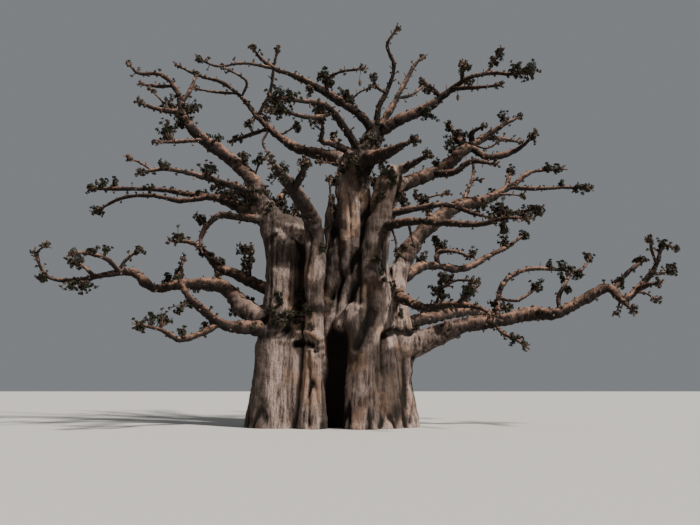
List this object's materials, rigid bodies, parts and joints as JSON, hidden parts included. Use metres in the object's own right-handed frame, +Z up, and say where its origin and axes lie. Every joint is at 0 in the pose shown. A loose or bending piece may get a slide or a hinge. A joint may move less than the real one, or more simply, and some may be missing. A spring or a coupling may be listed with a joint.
{
  "type": "baobab tree",
  "caption": "Wide, flat-cut baobab tree with a clustered, fluted trunk, crooked tapering boughs and knobbly, almost leafless twigs.",
  "frame": {"origin": "middle of the foot of the main column, on the flat cut at ground level", "axes": "+Z up along the trunk, +X to the right as seen from the front, across the crown's widest spread, +Y to the back"},
  "size_m": [25.1523, 16.7226, 16.8796],
  "materials": {
    "trunk_bark": "matt, folded grey-pink bark",
    "bough_bark": "matt, wrinkled red-brown bark",
    "twigs": "matt brown twigs with small dark green leaves"
  },
  "bodies": {
    "root": {"back_left_bough": "bough_bark", "back_left_twigs": "twigs", "back_low_left_bough": "bough_bark", "back_low_left_twigs": "twigs", "back_low_right_bough": "bough_bark", "back_low_right_twigs": "twigs", "back_right_bough": "bough_bark", "back_right_twigs": "twigs", "back_top_bough": "bough_bark", "back_top_twigs": "twigs", "fore_bough": "bough_bark", "fore_left_twigs": "twigs", "fore_right_twigs": "twigs", "fore_twigs": "twigs", "hook_twigs": "twigs", "leader_twigs": "twigs", "left_arch_twigs": "twigs", "left_fore_twigs": "twigs", "left_high_bough": "bough_bark", "left_high_side_twigs": "twigs", "left_high_twigs": "twigs", "left_rear_bough": "bough_bark", "left_rear_twigs": "twigs", "left_riser_bough": "bough_bark", "left_riser_twigs": "twigs", "left_tuft_twigs": "twigs", "low_left_bough": "bough_bark", "low_left_crook_bough": "bough_bark", "low_left_crook_twigs": "twigs", "low_left_twigs": "twigs", "low_right_arch_twigs": "twigs", "low_right_bough_1": "bough_bark", "low_right_bough_2": "bough_bark", "low_right_droop_twigs": "twigs", "low_right_riser_twigs": "twigs", "low_right_twigs": "twigs", "rear_leader_twigs": "twigs", "rear_left_bough": "bough_bark", "rear_left_twigs": "twigs", "right_crook_twigs": "twigs", "right_fore_bough": "bough_bark", "right_fore_twigs": "twigs", "right_high_bough": "bough_bark", "right_high_side_twigs": "twigs", "right_high_twigs": "twigs", "right_inner_twigs": "twigs", "right_low_fore_bough": "bough_bark", "right_low_fore_twigs": "twigs", "right_low_shoot_twigs": "twigs", "right_middle_twigs": "twigs", "right_rear_bough": "bough_bark", "right_rear_twigs": "twigs", "right_stub_twigs": "twigs", "top_left_bough": "bough_bark", "top_left_side_twigs": "twigs", "top_left_twigs": "twigs", "top_right_bough": "bough_bark", "top_right_twigs": "twigs", "trunk": "trunk_bark"}
  },
  "joints": []
}
